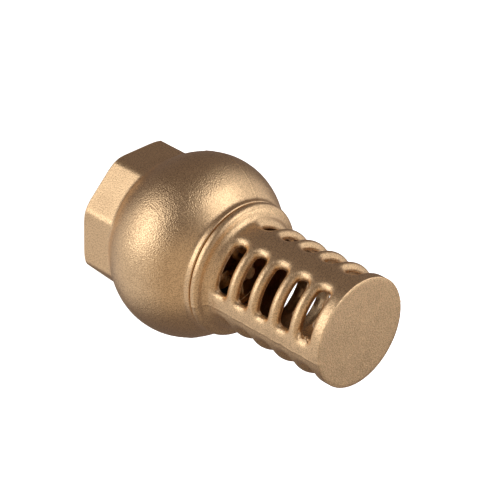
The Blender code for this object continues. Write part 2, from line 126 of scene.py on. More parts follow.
FLOOR_SIZE = 6.0                # metres
FLOOR_GLOW = 1.0                # the floor is a light table, so no shadow shows on it
floor_mesh = bpy.data.meshes.new('floor')
far = FLOOR_SIZE / 2
floor_mesh.from_pydata([(-far, -far, 0), (far, -far, 0), (far, far, 0), (-far, far, 0)],
                       [], [(0, 1, 2, 3)])
floor = bpy.data.objects.new('floor', floor_mesh)
floor_paint = bpy.data.materials.new('floor_paint')
floor_paint.use_nodes = True
table_top = floor_paint.node_tree.nodes['Principled BSDF']
table_top.inputs['Base Color'].default_value = (0.9, 0.9, 0.9, 1)
table_top.inputs['Roughness'].default_value = 0.8
table_top.inputs['Emission Color'].default_value = (1, 1, 1, 1)
table_top.inputs['Emission Strength'].default_value = FLOOR_GLOW
floor_mesh.materials.append(floor_paint)
floor.visible_glossy = False
floor.visible_diffuse = False
floor.visible_shadow = False
bpy.context.scene.collection.objects.link(floor)

# ------------------------------------------------------------
# Valve body: one hot brass forging, shot-blasted all over, then turned inside: a G 1 thread in
# the octagonal outlet, the chamber in the bulb and the neck that takes the strainer. The dies
# met in the plane through two opposite corners, where a thin trimmed flash line is left.
# ------------------------------------------------------------
ACROSS_FLATS = 40.0
FLAT_TURN = math.radians(45)
CORNER_RADIUS = 3.6
OUTLET_LENGTH = 10.3
FACE_CIRCLE_R = 20.6            # turned chamfer on the outlet face
FACE_CHAMFER_SLOPE = 1.7        # radius gained per height
FACE_CHAMFER_BLEND = 0.25
FACE_CHAMFER_END = 2.0          # no corner is cut above this height
FACE_ROUND = 0.25
RIM_ROUND = 0.45
BULB_R = 26.2
BULB_HALF_HEIGHT = 21.7
BULB_BLEND = 0.9                # soft hollow where the flats run into the bulb
BULB_WALL = 3.8
NECK_R = 19.3
NECK_LIP = 1.9
NECK_BLEND = 0.8
SEAM = 0.3
THREAD_CREST_R = 15.145
THREAD_DEPTH = 1.479
THREAD_PITCH = 2.309
THREAD_LENGTH = 12.6
THREAD_ENTRY = 1.75
THREAD_RUN_OUT = 1.5            # the thread fades to nothing over this length,
THREAD_RELIEF = 0.8             # and ends this far before the ledge
THREAD_SHARPNESS = 0.97         # 1 would be a plain triangle
GUIDE_POCKET_R = 16.3
GUIDE_POCKET_END = 14.8
RING_POCKET_R = 18.0
RING_POCKET_DEPTH = 1.75
NECK_THREAD_R = 16.5
NECK_THREAD_LENGTH = 6.5
CHAMBER_STEP = 1.6              # from the neck's thread to the chamber's wall
FLASH_HEIGHT = 0.16
FLASH_WIDTH = 0.26
BODY_FLASH_ANGLES = (math.radians(22.5), math.radians(-157.5))
CROWDING = 1.3                  # power by which columns crowd towards an edge
CORNER_ZONE = math.radians(4)   # columns are close together this near a corner

bulb_z = OUTLET_LENGTH + BULB_HALF_HEIGHT * math.sqrt(1 - (ACROSS_FLATS / 2 / BULB_R) ** 2)
neck_z = bulb_z + BULB_HALF_HEIGHT * math.sqrt(1 - (NECK_R / BULB_R) ** 2)
rim_z = neck_z + NECK_LIP - SEAM / 2
flange_z = rim_z + SEAM


def soft_max(a, b, blend):
    """The larger of two radii, with a rounded hollow where they cross."""
    near = np.maximum(0, 1 - np.abs(a - b) / blend)
    return np.maximum(a, b) + near * near * blend / 4


def edge_drop(distance, radius):
    """How far a rounded edge falls away at a distance from where the rounding ends."""
    short = np.clip(radius - distance, 0, radius)
    return radius - np.sqrt(radius ** 2 - short ** 2)


def spread(start, end, count):
    """count heights from start, end left out."""
    return [start + (end - start) * i / count for i in range(count)]


def grid_mesh(name, points, closed_rows=False, caps=()):
    """A mesh from rows of points that each close round the axis; caps are the rows to fill."""
    rows, columns, _ = points.shape
    vertices = points.reshape(-1, 3).tolist()
    last = rows if closed_rows else rows - 1
    faces = []
    for i in range(last):
        here, there = i * columns, (i + 1) % rows * columns
        for j in range(columns):
            k = (j + 1) % columns
            faces.append((here + j, here + k, there + k, there + j))
    for row in caps:
        centre = len(vertices)
        vertices.append(points[row].mean(axis=0).tolist())
        start = row % rows * columns
        for j in range(columns):
            k = (j + 1) % columns
            pair = (start + j, start + k) if row else (start + k, start + j)
            faces.append((pair[1], pair[0], centre))
    mesh = bpy.data.meshes.new(name)
    mesh.from_pydata([(x * MM, y * MM, z * MM) for x, y, z in vertices], [], faces)
    return mesh


def add_piece(name, mesh, material, nodes, body, sharp=40):
    """Shade a finished mesh and put it in the scene in place of its nodes."""
    bm = bmesh.new()
    bm.from_mesh(mesh)
    bmesh.ops.recalc_face_normals(bm, faces=bm.faces)
    bm.to_mesh(mesh)
    bm.free()
    mesh.shade_smooth()
    mesh.set_sharp_from_angle(angle=math.radians(sharp))
    mesh.materials.clear()
    mesh.materials.append(material)
    thing = bpy.data.objects.new(name, mesh)
    bpy.context.scene.collection.objects.link(thing)
    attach(thing, body)
    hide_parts(*nodes)
    return thing


def body_angles():
    """Columns round the body: wide on the flats, close at the corners and at the flash lines."""
    wide, close = 13, 7
    half = FLAT_TURN / 2
    sector = [-half + CORNER_ZONE * (i / close) ** CROWDING for i in range(close)]
    sector += [-half + CORNER_ZONE + (FLAT_TURN - 2 * CORNER_ZONE) * i / wide
               for i in range(wide)]
    sector += [half - CORNER_ZONE * ((close - i) / close) ** CROWDING for i in range(close)]
    return np.array([-math.pi / 2 + FLAT_TURN * k + a for k in range(8) for a in sector])


def octagon_radius(angle):
    """Side of the octagon with rounded corners."""
    inside = (angle + math.pi / 2 + FLAT_TURN / 2) % FLAT_TURN - FLAT_TURN / 2
    flat = ACROSS_FLATS / 2 / np.cos(inside)
    centre = (ACROSS_FLATS / 2 - CORNER_RADIUS) / math.cos(FLAT_TURN / 2)
    off = FLAT_TURN / 2 - np.abs(inside)
    tangent = FLAT_TURN / 2 - math.atan(centre * math.sin(FLAT_TURN / 2) / (ACROSS_FLATS / 2))
    chord = np.maximum(0, CORNER_RADIUS ** 2 - (centre * np.sin(off)) ** 2)
    return np.where(off < tangent, centre * np.cos(off) + np.sqrt(chord), flat)


def ellipse_radius(z, wall=0.0):
    """Side of the bulb, or of the chamber inside it when a wall is given."""
    share = (z - bulb_z) / (BULB_HALF_HEIGHT - wall)
    return (BULB_R - wall) * np.sqrt(np.maximum(0, 1 - share * share))


def flash_line(points, angles, height):
    """Raise a thin uneven line along the meridians at the given angles."""
    around = np.arctan2(points[..., 1], points[..., 0])
    radius = np.hypot(points[..., 0], points[..., 1])
    z = points[..., 2]
    for angle in angles:
        off = (around - angle + math.pi) % math.tau - math.pi
        wander = 0.1 * np.sin(z * 0.9) + 0.06 * np.sin(z * 2.3 + 1)
        across = off * radius + wander
        strength = 0.65 + 0.35 * np.sin(z * 0.7 + 2) * np.sin(z * 1.9)
        rise = height * strength * np.exp(-(across / FLASH_WIDTH) ** 2)
        rise = np.where(np.abs(off) < 0.3, rise, 0)
        points[..., 0] += rise * np.cos(around)
        points[..., 1] += rise * np.sin(around)
    return points


angles = body_angles()
octagon = octagon_radius(angles)
hollow_low, hollow_high, bulb_high = 8.8, 13.5, 37.0    # rows are closest in the hollow
outside_z = ([0.0] + spread(FACE_ROUND * 0.3, 1.2, 8) + spread(1.2, hollow_low, 8)
             + spread(hollow_low, hollow_high, 28) + spread(hollow_high, bulb_high, 44)
             + spread(bulb_high, rim_z - RIM_ROUND, 20) + spread(rim_z - RIM_ROUND, rim_z, 8)
             + [rim_z])


def ring(radius, z, around=angles):
    """A row of points at a height, for one radius or a radius for each column."""
    return np.stack([radius * np.cos(around), radius * np.sin(around),
                     np.full(around.shape, z)], axis=-1)


def outside_radius(z):
    """Side of the body at a height: chamfered octagon, bulb, then neck, joined by hollows."""
    chamfer = FACE_CIRCLE_R + FACE_CHAMFER_SLOPE * z
    side = octagon
    if z < FACE_CHAMFER_END:
        side = -soft_max(-octagon, -chamfer, FACE_CHAMFER_BLEND)
    if z > bulb_z:
        radius = soft_max(ellipse_radius(z), NECK_R, NECK_BLEND)
    elif z < bulb_z:
        radius = soft_max(side, ellipse_radius(z), BULB_BLEND)
    else:
        radius = ellipse_radius(z)
    return radius - edge_drop(rim_z - z, RIM_ROUND) - edge_drop(z, FACE_ROUND)


outer_rows = flash_line(np.array([ring(outside_radius(z), z) for z in outside_z]),
                        BODY_FLASH_ANGLES, FLASH_HEIGHT)


def thread_radius(z):
    """Whitworth thread: rounded crests and roots on a helix, running out at both ends."""
    phase = math.tau * (z / THREAD_PITCH) - angles
    wave = np.arcsin(THREAD_SHARPNESS * np.sin(phase)) / math.asin(THREAD_SHARPNESS)
    left = THREAD_LENGTH - THREAD_RELIEF - z
    depth = THREAD_DEPTH * min(1, max(0, left / THREAD_RUN_OUT))
    return np.maximum(THREAD_CREST_R + depth * (0.5 + 0.5 * wave),
                      THREAD_CREST_R + THREAD_ENTRY - z)


neck_bore_z = rim_z - NECK_THREAD_LENGTH
chamber_high = neck_bore_z - CHAMBER_STEP
inner = [ring(RING_POCKET_R, rim_z), ring(RING_POCKET_R, rim_z - RING_POCKET_DEPTH),
         ring(NECK_THREAD_R, rim_z - RING_POCKET_DEPTH), ring(NECK_THREAD_R, neck_bore_z)]
inner += [ring(ellipse_radius(z, BULB_WALL), z)
          for z in spread(chamber_high, GUIDE_POCKET_END + 0.4, 24)]
inner += [ring(GUIDE_POCKET_R, GUIDE_POCKET_END), ring(GUIDE_POCKET_R, THREAD_LENGTH),
          ring(THREAD_CREST_R, THREAD_LENGTH)]
inner += [ring(thread_radius(z), z) for z in spread(THREAD_LENGTH - 0.05, 0, 84)]
inner += [ring(THREAD_CREST_R + THREAD_ENTRY, 0)]
body_mesh = grid_mesh('valve_body_forging', np.concatenate([outer_rows, inner]), closed_rows=True)


class Field:
    """A socket in a node tree. Arithmetic on it adds Math nodes to the tree."""

    def __init__(self, tree, socket=None):
        self.tree = tree
        self.socket = socket

    def node(self, kind, settings=(), inputs=(), output=0):
        """Add a node: its settings first, then its inputs by name or number; gives one output."""
        made = self.tree.nodes.new(kind)
        for name, value in dict(settings).items():
            if name == 'stops':
                ramp = made.color_ramp
                while len(ramp.elements) < len(value):
                    ramp.elements.new(0.5)
                for element, (place, colour) in zip(ramp.elements, value):
                    element.position = place
                    element.color = (*colour, 1)
            else:
                setattr(made, name, value)
        for name, value in dict(inputs).items():
            target = made.inputs[name]
            if isinstance(value, Field):
                self.tree.links.new(value.socket, target)
            else:
                target.default_value = value
        return Field(self.tree, made.outputs[output])

    def maths(self, operation, *values):
        return self.node('ShaderNodeMath', {'operation': operation}, dict(enumerate(values)))

    def __add__(self, other):
        return self.maths('ADD', self, other)

    def __radd__(self, other):
        return self.maths('ADD', other, self)

    def __sub__(self, other):
        return self.maths('SUBTRACT', self, other)

    def __rsub__(self, other):
        return self.maths('SUBTRACT', other, self)

    def __mul__(self, other):
        return self.maths('MULTIPLY', self, other)

    def __rmul__(self, other):
        return self.maths('MULTIPLY', other, self)

    def clamp(self):
        return self.node('ShaderNodeClamp', {}, {0: self})

    def between(self, low, high):
        """0 below low, 1 above high, smooth in between."""
        return self.node('ShaderNodeMapRange', {'interpolation_type': 'SMOOTHSTEP'},
                         {'Value': self, 'From Min': low, 'From Max': high})

    def mix(self, first, second):
        """Blend two colours, with this field as the share of the second."""
        made = self.tree.nodes.new('ShaderNodeMix')
        made.data_type = 'RGBA'
        self.tree.links.new(self.socket, made.inputs['Factor'])
        for place, colour in ((6, first), (7, second)):     # the node's two colour inputs
            if isinstance(colour, Field):
                self.tree.links.new(colour.socket, made.inputs[place])
            else:
                made.inputs[place].default_value = (*colour, 1)
        return Field(self.tree, made.outputs[2])


def new_finish(name):
    """An empty finish: a material, a field to build on, and places in millimetres."""
    material = bpy.data.materials.new(name)
    material.use_nodes = True
    start = Field(material.node_tree)
    place = start.node('ShaderNodeTexCoord', output='Object')
    scaled = start.node('ShaderNodeVectorMath', {'operation': 'SCALE'},
                        {0: place, 'Scale': 1 / MM})
    return material, start, scaled


def set_finish(material, **values):
    """Feed the Principled shader: plain numbers on its sockets, fields by links."""
    shader = material.node_tree.nodes['Principled BSDF']
    for name, value in values.items():
        target = shader.inputs[name.replace('_', ' ')]
        if isinstance(value, Field):
            material.node_tree.links.new(value.socket, target)
        elif isinstance(value, tuple):
            target.default_value = (*value, 1)
        else:
            target.default_value = value


BRASS_COLOUR = (0.92, 0.65, 0.37)
BRASS_TARNISH = (0.42, 0.27, 0.15)
# painted shade: the strainer's bore is darkened towards this brown, as if it lay in shadow
PAINTED_BORE_SHADE = (0.24, 0.11, 0.04)
BLAST_DEPTH = 0.00011           # metres from the bottom of a dimple to the top of its rim
COARSE_FROM_R = 21.6            # the coarse skin of the bulb starts here
COARSE_FULL_R = 23.5
BORE_SHADE_DEPTH = 0.3               # how far the painted bore shade reaches out of a hole,
BORE_SHADE_FULL = 0.05               # where it is still full,
BORE_SHADE_FADE = 4.0                # and half the height over which it ends


def from_axis(start, place):
    """Distance of a point from the valve's axis, and its height."""
    flat = start.node('ShaderNodeVectorMath', {'operation': 'MULTIPLY'}, {0: place, 1: (1, 1, 0)})
    distance = start.node('ShaderNodeVectorMath', {'operation': 'LENGTH'}, {0: flat},
                          output='Value')
    return distance, start.node('ShaderNodeSeparateXYZ', {}, {0: place}, output='Z')


def blasted_brass(name, grit, bore=None):
    """Shot-blasted forged brass: overlapping dimples, fine grain and a mottled brown bloom.

    The bulb is coarser than the rest, whose depth is grit; bore is a hole's radius and the height
    up to which the bore is darkened with painted shade.
    """
    material, start, place = new_finish(name)
    grain = start.node('ShaderNodeTexNoise', {}, {'Vector': place, 'Scale': 2.8, 'Detail': 2.0,
                                                  'Roughness': 0.6})
    dimple = start.node('ShaderNodeTexVoronoi', {'feature': 'SMOOTH_F1'},
                        {'Vector': place, 'Scale': 2.4, 'Smoothness': 0.4})
    bloom = start.node('ShaderNodeTexNoise', {}, {'Vector': place, 'Scale': 0.14, 'Detail': 4.0,
                                                  'Roughness': 0.6})
    speck = start.node('ShaderNodeTexNoise', {}, {'Vector': place, 'Scale': 2.9, 'Detail': 2.0,
                                                  'Roughness': 0.7})
    tarnish = bloom.between(0.42, 0.75) * 0.15 + speck.between(0.42, 0.62) * 0.6
    colour = tarnish.clamp().mix(BRASS_COLOUR, BRASS_TARNISH)
    distance, level = from_axis(start, place)
    bulb = distance.between(COARSE_FROM_R, COARSE_FULL_R)
    if bore:
        hole_r, top = bore
        # painted shade: the bore's surface darkens below the given height, where it lies in shadow
        bore_shade = (distance.between(hole_r + BORE_SHADE_DEPTH, hole_r + BORE_SHADE_FULL)
                 * level.between(top + BORE_SHADE_FADE, top - BORE_SHADE_FADE))
        colour = (bore_shade * 0.9).mix(colour, PAINTED_BORE_SHADE)
    height = (grain * 0.7 + dimple * 0.6) * (bulb * (1 - grit) + grit)
    bump = start.node('ShaderNodeBump', {}, {'Height': height, 'Distance': BLAST_DEPTH,
                                             'Strength': 1.0})
    roughness = 0.34 + bloom * 0.06 - bulb * 0.05
    set_finish(material, Base_Color=colour, Roughness=roughness, Metallic=1.0, Normal=bump)
    return material


forged_brass = blasted_brass('forged_brass', 0.35)
add_piece('valve_body_forging', body_mesh, forged_brass, ['valve_body'], 'housing')

# ------------------------------------------------------------
# Strainer: a second brass forging, bored out from the flange so that the bore breaks through
# the forged pockets and leaves four rows of slots. Its spigot screws into the neck until the
# flange meets the rim.
# ------------------------------------------------------------
FLANGE_R = 19.3
FLANGE_SHOULDER = 1.6
FLANGE_BAND = 0.85
FLANGE_FILLET = 2.6
FLANGE_ROUND = 0.5
CAGE_R = 15.8
CAGE_BORE_R = 13.5
CAGE_NECK = 3.65
SLOT_ROWS = 4
SLOTS_PER_ROW = 5
SLOT_PITCH = 7.6
SLOT_HEIGHT = 4.2
SLOT_HALF_ARC = math.radians(28.5)
SLOT_CORNER = 1.65
RIB_ROUND = 1.7
RIB_FLAT = 0.15                 # the pocket's rounding starts this far short of its width
BORE_LIP = 0.18                 # how much wider a slot breaks out at the bore
END_SPREAD = 1.6                # the pocket's ends slope this much more gently than its sides
END_RING = 2.4
END_WALL = 3.6
END_EDGE = 0.14
SPIGOT_R = 16.2
SPIGOT_LENGTH = 6.3
SEAT_POCKET_R = 14.3
SEAT_POCKET_DEPTH = 5.6
STRAINER_TURN = math.radians(12.2)
STRAINER_FLASH_ANGLES = (math.radians(-45), math.radians(135))
SIDE_STEPS = 28                 # half a pitch's side, and half a slot's end
END_STEPS = 8
MOUTH_STEPS = 11
EDGE_STEPS = 4
POCKET_FLASH_ARC = math.radians(10)     # the end of one slot was trimmed ragged
POCKET_FLASH = 1.0
POCKET_FLASH_GRAIN = 1.3
POCKET_FLASH_SKIN = 0.7         # the cage's outside stays smooth to this depth
POCKET_FLASH_SEED = 2           # without one the clock would seed the noise
FLASH_SKIN = 0.3                # the die line is only on the outermost skin
WELD_GAP = 0.005
NEAR = 0.01

shoulder_z = flange_z + FLANGE_BAND
cage_z = flange_z + CAGE_NECK
cage_top_z = cage_z + SLOT_PITCH * SLOTS_PER_ROW
end_z = cage_top_z + END_RING
bore_end_z = end_z - END_WALL
last_slot_z = cage_top_z - SLOT_PITCH / 2
# the painted shade in the bore reaches up to here
bore_shade_z = last_slot_z - 3 * SLOT_PITCH
pocket_flash_angle = -math.pi / 2 + SLOT_HALF_ARC


def cage_radius(z):
    """Outside of the strainer: straight band, shoulder, fillet and cage."""
    shoulder_r = FLANGE_R - FLANGE_SHOULDER
    fillet_r = CAGE_R + FLANGE_FILLET
    reach = FLANGE_SHOULDER + FLANGE_FILLET
    fillet_z = shoulder_z + math.sqrt(reach ** 2 - (fillet_r - shoulder_r) ** 2)
    meet_z = shoulder_z + (fillet_z - shoulder_z) * FLANGE_SHOULDER / reach
    if z <= shoulder_z:
        return FLANGE_R
    if z <= meet_z:
        return shoulder_r + math.sqrt(max(0, FLANGE_SHOULDER ** 2 - (z - shoulder_z) ** 2))
    if z < fillet_z:
        return fillet_r - math.sqrt(max(0, FLANGE_FILLET ** 2 - (z - fillet_z) ** 2))
    return CAGE_R


def four_quarters(quarter, last):
    """Mirror a quarter outline, which starts on the +angle axis, into a closed one."""
    points = quarter + [last]
    points += [(-a, z) for a, z in reversed(quarter)]
    points += [(-a, -z) for a, z in quarter[1:]]
    points += [(a, -z) for a, z in [last] + quarter[:0:-1]]
    return points


half_arc = math.pi / SLOT_ROWS
half_pitch = SLOT_PITCH / 2
side_angles = [half_arc * (1 - (i / SIDE_STEPS) ** CROWDING) for i in range(SIDE_STEPS)]
pitch_edge = four_quarters([(half_arc, half_pitch * i / END_STEPS) for i in range(END_STEPS)]
                           + [(a, half_pitch) for a in side_angles], (0.0, half_pitch))


def slot_edge(grow):
    """A slot's outline grown by grow, with one point for each point of the pitch's edge."""
    half_height = SLOT_HEIGHT / 2 + grow
    reach = SLOT_HALF_ARC + grow * END_SPREAD / CAGE_R
    corner, corner_arc = SLOT_CORNER + grow, (SLOT_CORNER + grow * END_SPREAD) / CAGE_R
    straight_end, arc_steps = 2, 12
    quarter = [(reach, (half_height - corner) * i / straight_end) for i in range(straight_end)]
    for i in range(arc_steps):
        turned = math.pi / 2 * i / arc_steps
        quarter.append((reach - corner_arc * (1 - math.cos(turned)),
                        half_height - corner * (1 - math.sin(turned))))
    rest = END_STEPS + SIDE_STEPS - straight_end - arc_steps
    quarter += [((reach - corner_arc) * (1 - i / rest), half_height) for i in range(rest)]
    return four_quarters(quarter, (0.0, half_height))


def as_object(name, mesh):
    """Put a helper mesh in the scene, for a tree to use."""
    thing = bpy.data.objects.new(name, mesh)
    bpy.context.scene.collection.objects.link(thing)
    return thing


class Tree:
    """A Geometry Nodes tree with named inputs, used once to make a plain mesh."""

    KINDS = {float: 'NodeSocketFloat', int: 'NodeSocketInt', bpy.types.Object: 'NodeSocketObject'}

    def __init__(self, name, **inputs):
        self.group = bpy.data.node_groups.new(name, 'GeometryNodeTree')
        self.values = inputs
        face = self.group.interface
        self.sockets = {key: face.new_socket(key, in_out='INPUT',
                                             socket_type=self.KINDS[type(value)])
                        for key, value in inputs.items()}
        face.new_socket('Mesh', in_out='OUTPUT', socket_type='NodeSocketGeometry')
        self.start = self.group.nodes.new('NodeGroupInput')

    def given(self, key):
        return self.start.outputs[key]

    def node(self, kind, settings=(), inputs=(), output=0):
        """Add a node as a Field does; a list feeds all its sockets to one input."""
        made = self.group.nodes.new(kind)
        for name, value in dict(settings).items():
            setattr(made, name, value)
        for name, value in dict(inputs).items():
            for one in value if isinstance(value, list) else [value]:
                if isinstance(one, bpy.types.NodeSocket):
                    self.group.links.new(one, made.inputs[name])
                else:
                    made.inputs[name].default_value = one
        return made.outputs[output]

    def maths(self, operation, *values):
        return self.node('ShaderNodeMath', {'operation': operation}, dict(enumerate(values)))

    def mesh(self, name, shape, material):
        """Set the material, run the tree on an empty object, and give back a plain mesh."""
        last = self.node('GeometryNodeSetMaterial', {}, {'Geometry': shape, 'Material': material})
        end = self.group.nodes.new('NodeGroupOutput')
        self.group.links.new(last, end.inputs[0])
        thing = as_object(name, bpy.data.meshes.new(name))
        step = thing.modifiers.new(name, 'NODES')
        step.node_group = self.group
        for key, socket in self.sockets.items():
            step[socket.identifier] = self.values[key]
        bpy.context.view_layer.update()
        evaluated = thing.evaluated_get(bpy.context.evaluated_depsgraph_get())
        made = bpy.data.meshes.new_from_object(evaluated)
        thing.modifiers.remove(step)
        bpy.data.objects.remove(thing)
        for value in self.values.values():
            if isinstance(value, bpy.types.Object):
                bpy.data.objects.remove(value)
        return made


def polar(angle, radius, z):
    return (radius * math.cos(angle), radius * math.sin(angle), z)


class Shell:
    """Vertices and faces gathered from closed loops."""

    def __init__(self):
        self.vertices = []
        self.faces = []

    def bridge(self, loops):
        """Add loops of equal length and the faces between neighbours; gives the last loop."""
        before = None
        for points in loops:
            here = [len(self.vertices) + i for i in range(len(points))]
            self.vertices.extend(points)
            if before:
                self.faces += [(a, b, d, c) for a, b, c, d in zip(
                    before, before[1:] + before[:1], here, here[1:] + here[:1])]
            before = here
        return before

    def cap(self, loop):
        """Fill a loop round the axis from a point at its middle."""
        centre = len(self.vertices)
        self.vertices.append((0.0, 0.0, self.vertices[loop[0]][2]))
        self.faces += [(a, b, centre) for a, b in zip(loop, loop[1:] + loop[:1])]

    def mesh(self, name):
        made = bpy.data.meshes.new(name)
        made.from_pydata([(x * MM, y * MM, z * MM) for x, y, z in self.vertices], [], self.faces)
        return made


def pitch_shell():
    """One pitch round one slot: its edge, the pocket, the wall, and its edge at the bore."""
    mouth_grow = RIB_ROUND - RIB_FLAT
    mouth, hole, lip = slot_edge(mouth_grow), slot_edge(0.0), slot_edge(BORE_LIP)
    loops = []
    for share in (0, 0.04, 0.1, 0.2, 0.4, 0.7):
        loops.append([polar(a + (b - a) * share, CAGE_R, z + (y - z) * share)
                      for (a, z), (b, y) in zip(pitch_edge, mouth)])
    for i in range(MOUTH_STEPS + 1):
        grow = mouth_grow * (1 - i / MOUTH_STEPS) ** 1.5
        loops.append([polar(a, CAGE_R - edge_drop(grow, RIB_ROUND), z)
                      for a, z in slot_edge(grow)])
    wall_r = CAGE_R - RIB_ROUND
    for depth, outline in ((0.4, hole), (0.75, hole), (1.0, lip)):
        loops.append([polar(a, wall_r + (CAGE_BORE_R - wall_r) * depth, z) for a, z in outline])
    loops.append([polar(a, CAGE_BORE_R, z) for a, z in pitch_edge])
    shell = Shell()
    shell.bridge(loops)
    return shell


def slotted_wall(name, pitch, material):
    """Copy the pitch into rows round the axis and columns along it, and weld the copies."""
    tree = Tree(name, Pitch=pitch, Rows=SLOT_ROWS, Slots=SLOTS_PER_ROW, Step=SLOT_PITCH * MM,
                First=(cage_z + SLOT_PITCH / 2) * MM, Turn=-math.pi / 2)
    index = tree.node('GeometryNodeInputIndex')
    slot = tree.maths('FLOOR', tree.maths('DIVIDE', index, tree.given('Rows')))
    quarter = tree.maths('DIVIDE', math.tau, tree.given('Rows'))
    angle = tree.maths('MULTIPLY_ADD', index, quarter, tree.given('Turn'))
    height = tree.maths('MULTIPLY_ADD', slot, tree.given('Step'), tree.given('First'))
    place = tree.node('ShaderNodeCombineXYZ', {}, {'Z': height})
    turn = tree.node('ShaderNodeCombineXYZ', {}, {'Z': angle})
    count = tree.maths('MULTIPLY', tree.given('Rows'), tree.given('Slots'))
    points = tree.node('GeometryNodePoints', {}, {'Count': count, 'Position': place})
    shape = tree.node('GeometryNodeObjectInfo', {}, {'Object': tree.given('Pitch')},
                      output='Geometry')
    copies = tree.node('GeometryNodeInstanceOnPoints', {},
                       {'Points': points, 'Instance': shape, 'Rotation': turn})
    wall = tree.node('GeometryNodeRealizeInstances', {}, {'Geometry': copies})
    wall = tree.node('GeometryNodeMergeByDistance', {},
                     {'Geometry': wall, 'Distance': WELD_GAP * MM})
    return tree.mesh(name, wall, material)


def strainer_ends():
    """The flange with its spigot and seat pocket, and the closed end."""
    shell = Shell()
    half = [-a for a in side_angles] + [0.0] + side_angles[:0:-1]
    columns = [-math.pi / 2 + math.tau * row / SLOT_ROWS + a
               for row in range(SLOT_ROWS) for a in half]

    def rings(outline):
        return shell.bridge([[polar(a, r, z) for a in columns] for r, z in outline])

    spigot_z = flange_z - SPIGOT_LENGTH
    pocket_end = spigot_z + SEAT_POCKET_DEPTH
    rings([(cage_radius(z), z) for z in spread(cage_z, shoulder_z, 22)]
          + [(FLANGE_R - edge_drop(z - flange_z, FLANGE_ROUND), z)
             for z in spread(shoulder_z, flange_z, 10)]
          + [(FLANGE_R - FLANGE_ROUND, flange_z), (SPIGOT_R, flange_z), (SPIGOT_R, spigot_z),
             (SEAT_POCKET_R, spigot_z), (SEAT_POCKET_R, pocket_end), (CAGE_BORE_R, pocket_end),
             (CAGE_BORE_R, cage_z)])
    face = [(CAGE_R, z) for z in spread(cage_top_z, end_z - END_EDGE, 5)]
    for i in range(EDGE_STEPS + 1):
        turned = math.pi / 2 * i / EDGE_STEPS
        face.append((CAGE_R - END_EDGE * (1 - math.cos(turned)),
                     end_z - END_EDGE * (1 - math.sin(turned))))
    shell.cap(rings(face + [(r, end_z) for r in (14.5, 12, 9, 6, 3, 1)]))
    shell.cap(rings([(r, bore_end_z) for r in (CAGE_BORE_R, 9, 4, 1)]))
    return shell


def shaped(point):
    """Move a point of the plain wall onto the fillet, the ragged slot end or the flash line."""
    angle, reach, z = math.atan2(point.y, point.x), math.hypot(point.x, point.y), point.z
    on_wall = CAGE_R - RIB_ROUND - NEAR < reach < CAGE_R + NEAR
    if on_wall and cage_z - NEAR < z < cage_z + SLOT_PITCH:
        reach += cage_radius(z) - CAGE_R
    if abs(reach - CAGE_BORE_R) < NEAR:
        z = min(z, bore_end_z)
    near_end = 1 - abs(angle - pocket_flash_angle) / POCKET_FLASH_ARC
    in_slot = abs(z - last_slot_z) < SLOT_HEIGHT / 2 + 0.4
    if in_slot and near_end > 0 and CAGE_BORE_R + NEAR < reach < CAGE_R - POCKET_FLASH_SKIN:
        ragged = noise.noise_vector(Vector((point.x, point.y, z)) * POCKET_FLASH_GRAIN)
        angle -= (0.6 + ragged.x) * near_end * POCKET_FLASH / CAGE_R
        z += ragged.z * near_end * POCKET_FLASH
    if reach > CAGE_R - FLASH_SKIN:
        raised = flash_line(np.array([polar(angle, reach, z)]), STRAINER_FLASH_ANGLES,
                            FLASH_HEIGHT)[0]
        reach = math.hypot(raised[0], raised[1])
    return Vector(polar(angle, reach, z))


# the strainer's brass, with painted shade darkening its bore
bore_shaded_brass = blasted_brass('forged_brass_bored', 0.6, (CAGE_BORE_R, bore_shade_z))
wall_mesh = slotted_wall('strainer_wall', as_object('pitch', pitch_shell().mesh('pitch')),
                         bore_shaded_brass)
weld = bmesh.new()
weld.from_mesh(wall_mesh)
weld.from_mesh(strainer_ends().mesh('strainer_ends'))
turned_by = Matrix.Rotation(STRAINER_TURN, 3, 'Z')
noise.seed_set(POCKET_FLASH_SEED)
for vertex in weld.verts:
    vertex.co = turned_by @ shaped(vertex.co / MM) * MM
bmesh.ops.remove_doubles(weld, verts=weld.verts, dist=WELD_GAP * MM)
cage_mesh = bpy.data.meshes.new('strainer_cage')
weld.to_mesh(cage_mesh)
weld.free()
add_piece('strainer_cage', cage_mesh, bore_shaded_brass, ['strainer'], 'housing')

# ------------------------------------------------------------
# O-ring: nitrile rubber, squeezed into the pocket at the mouth of the neck, under the flange.
# ------------------------------------------------------------
RING_SECTION_R = 0.6
RING_SIDES = 16
RING_COLUMNS = 160
RUBBER_BLACK = (0.012, 0.012, 0.013)
RUBBER_DUST = (0.045, 0.042, 0.04)
RUBBER_PEEL = 0.00002           # metres


def lathe(name, outline, columns=RING_COLUMNS):
    """A mesh turned about the axis from a closed outline; a radius may be a row of radii."""
    around = np.linspace(0, math.tau, columns, endpoint=False)
    rows = np.array([ring(r, z, around) for r, z in outline])
    return grid_mesh(name, rows, closed_rows=True)


def rounded(outline, radius, steps=4):
    """A closed outline with every corner cut to an arc of the given radius."""
    result = []
    count = len(outline)
    for i in range(count):
        before, here, after = (Vector(outline[(i + k) % count]) for k in (-1, 0, 1))
        short = min(radius, (before - here).length * 0.45, (after - here).length * 0.45)
        start = here + (before - here).normalized() * short
        end = here + (after - here).normalized() * short
        for k in range(steps + 1):
            t = k / steps
            point = start * (1 - t) ** 2 + here * 2 * t * (1 - t) + end * t ** 2
            result.append((point.x, point.y))
    return result


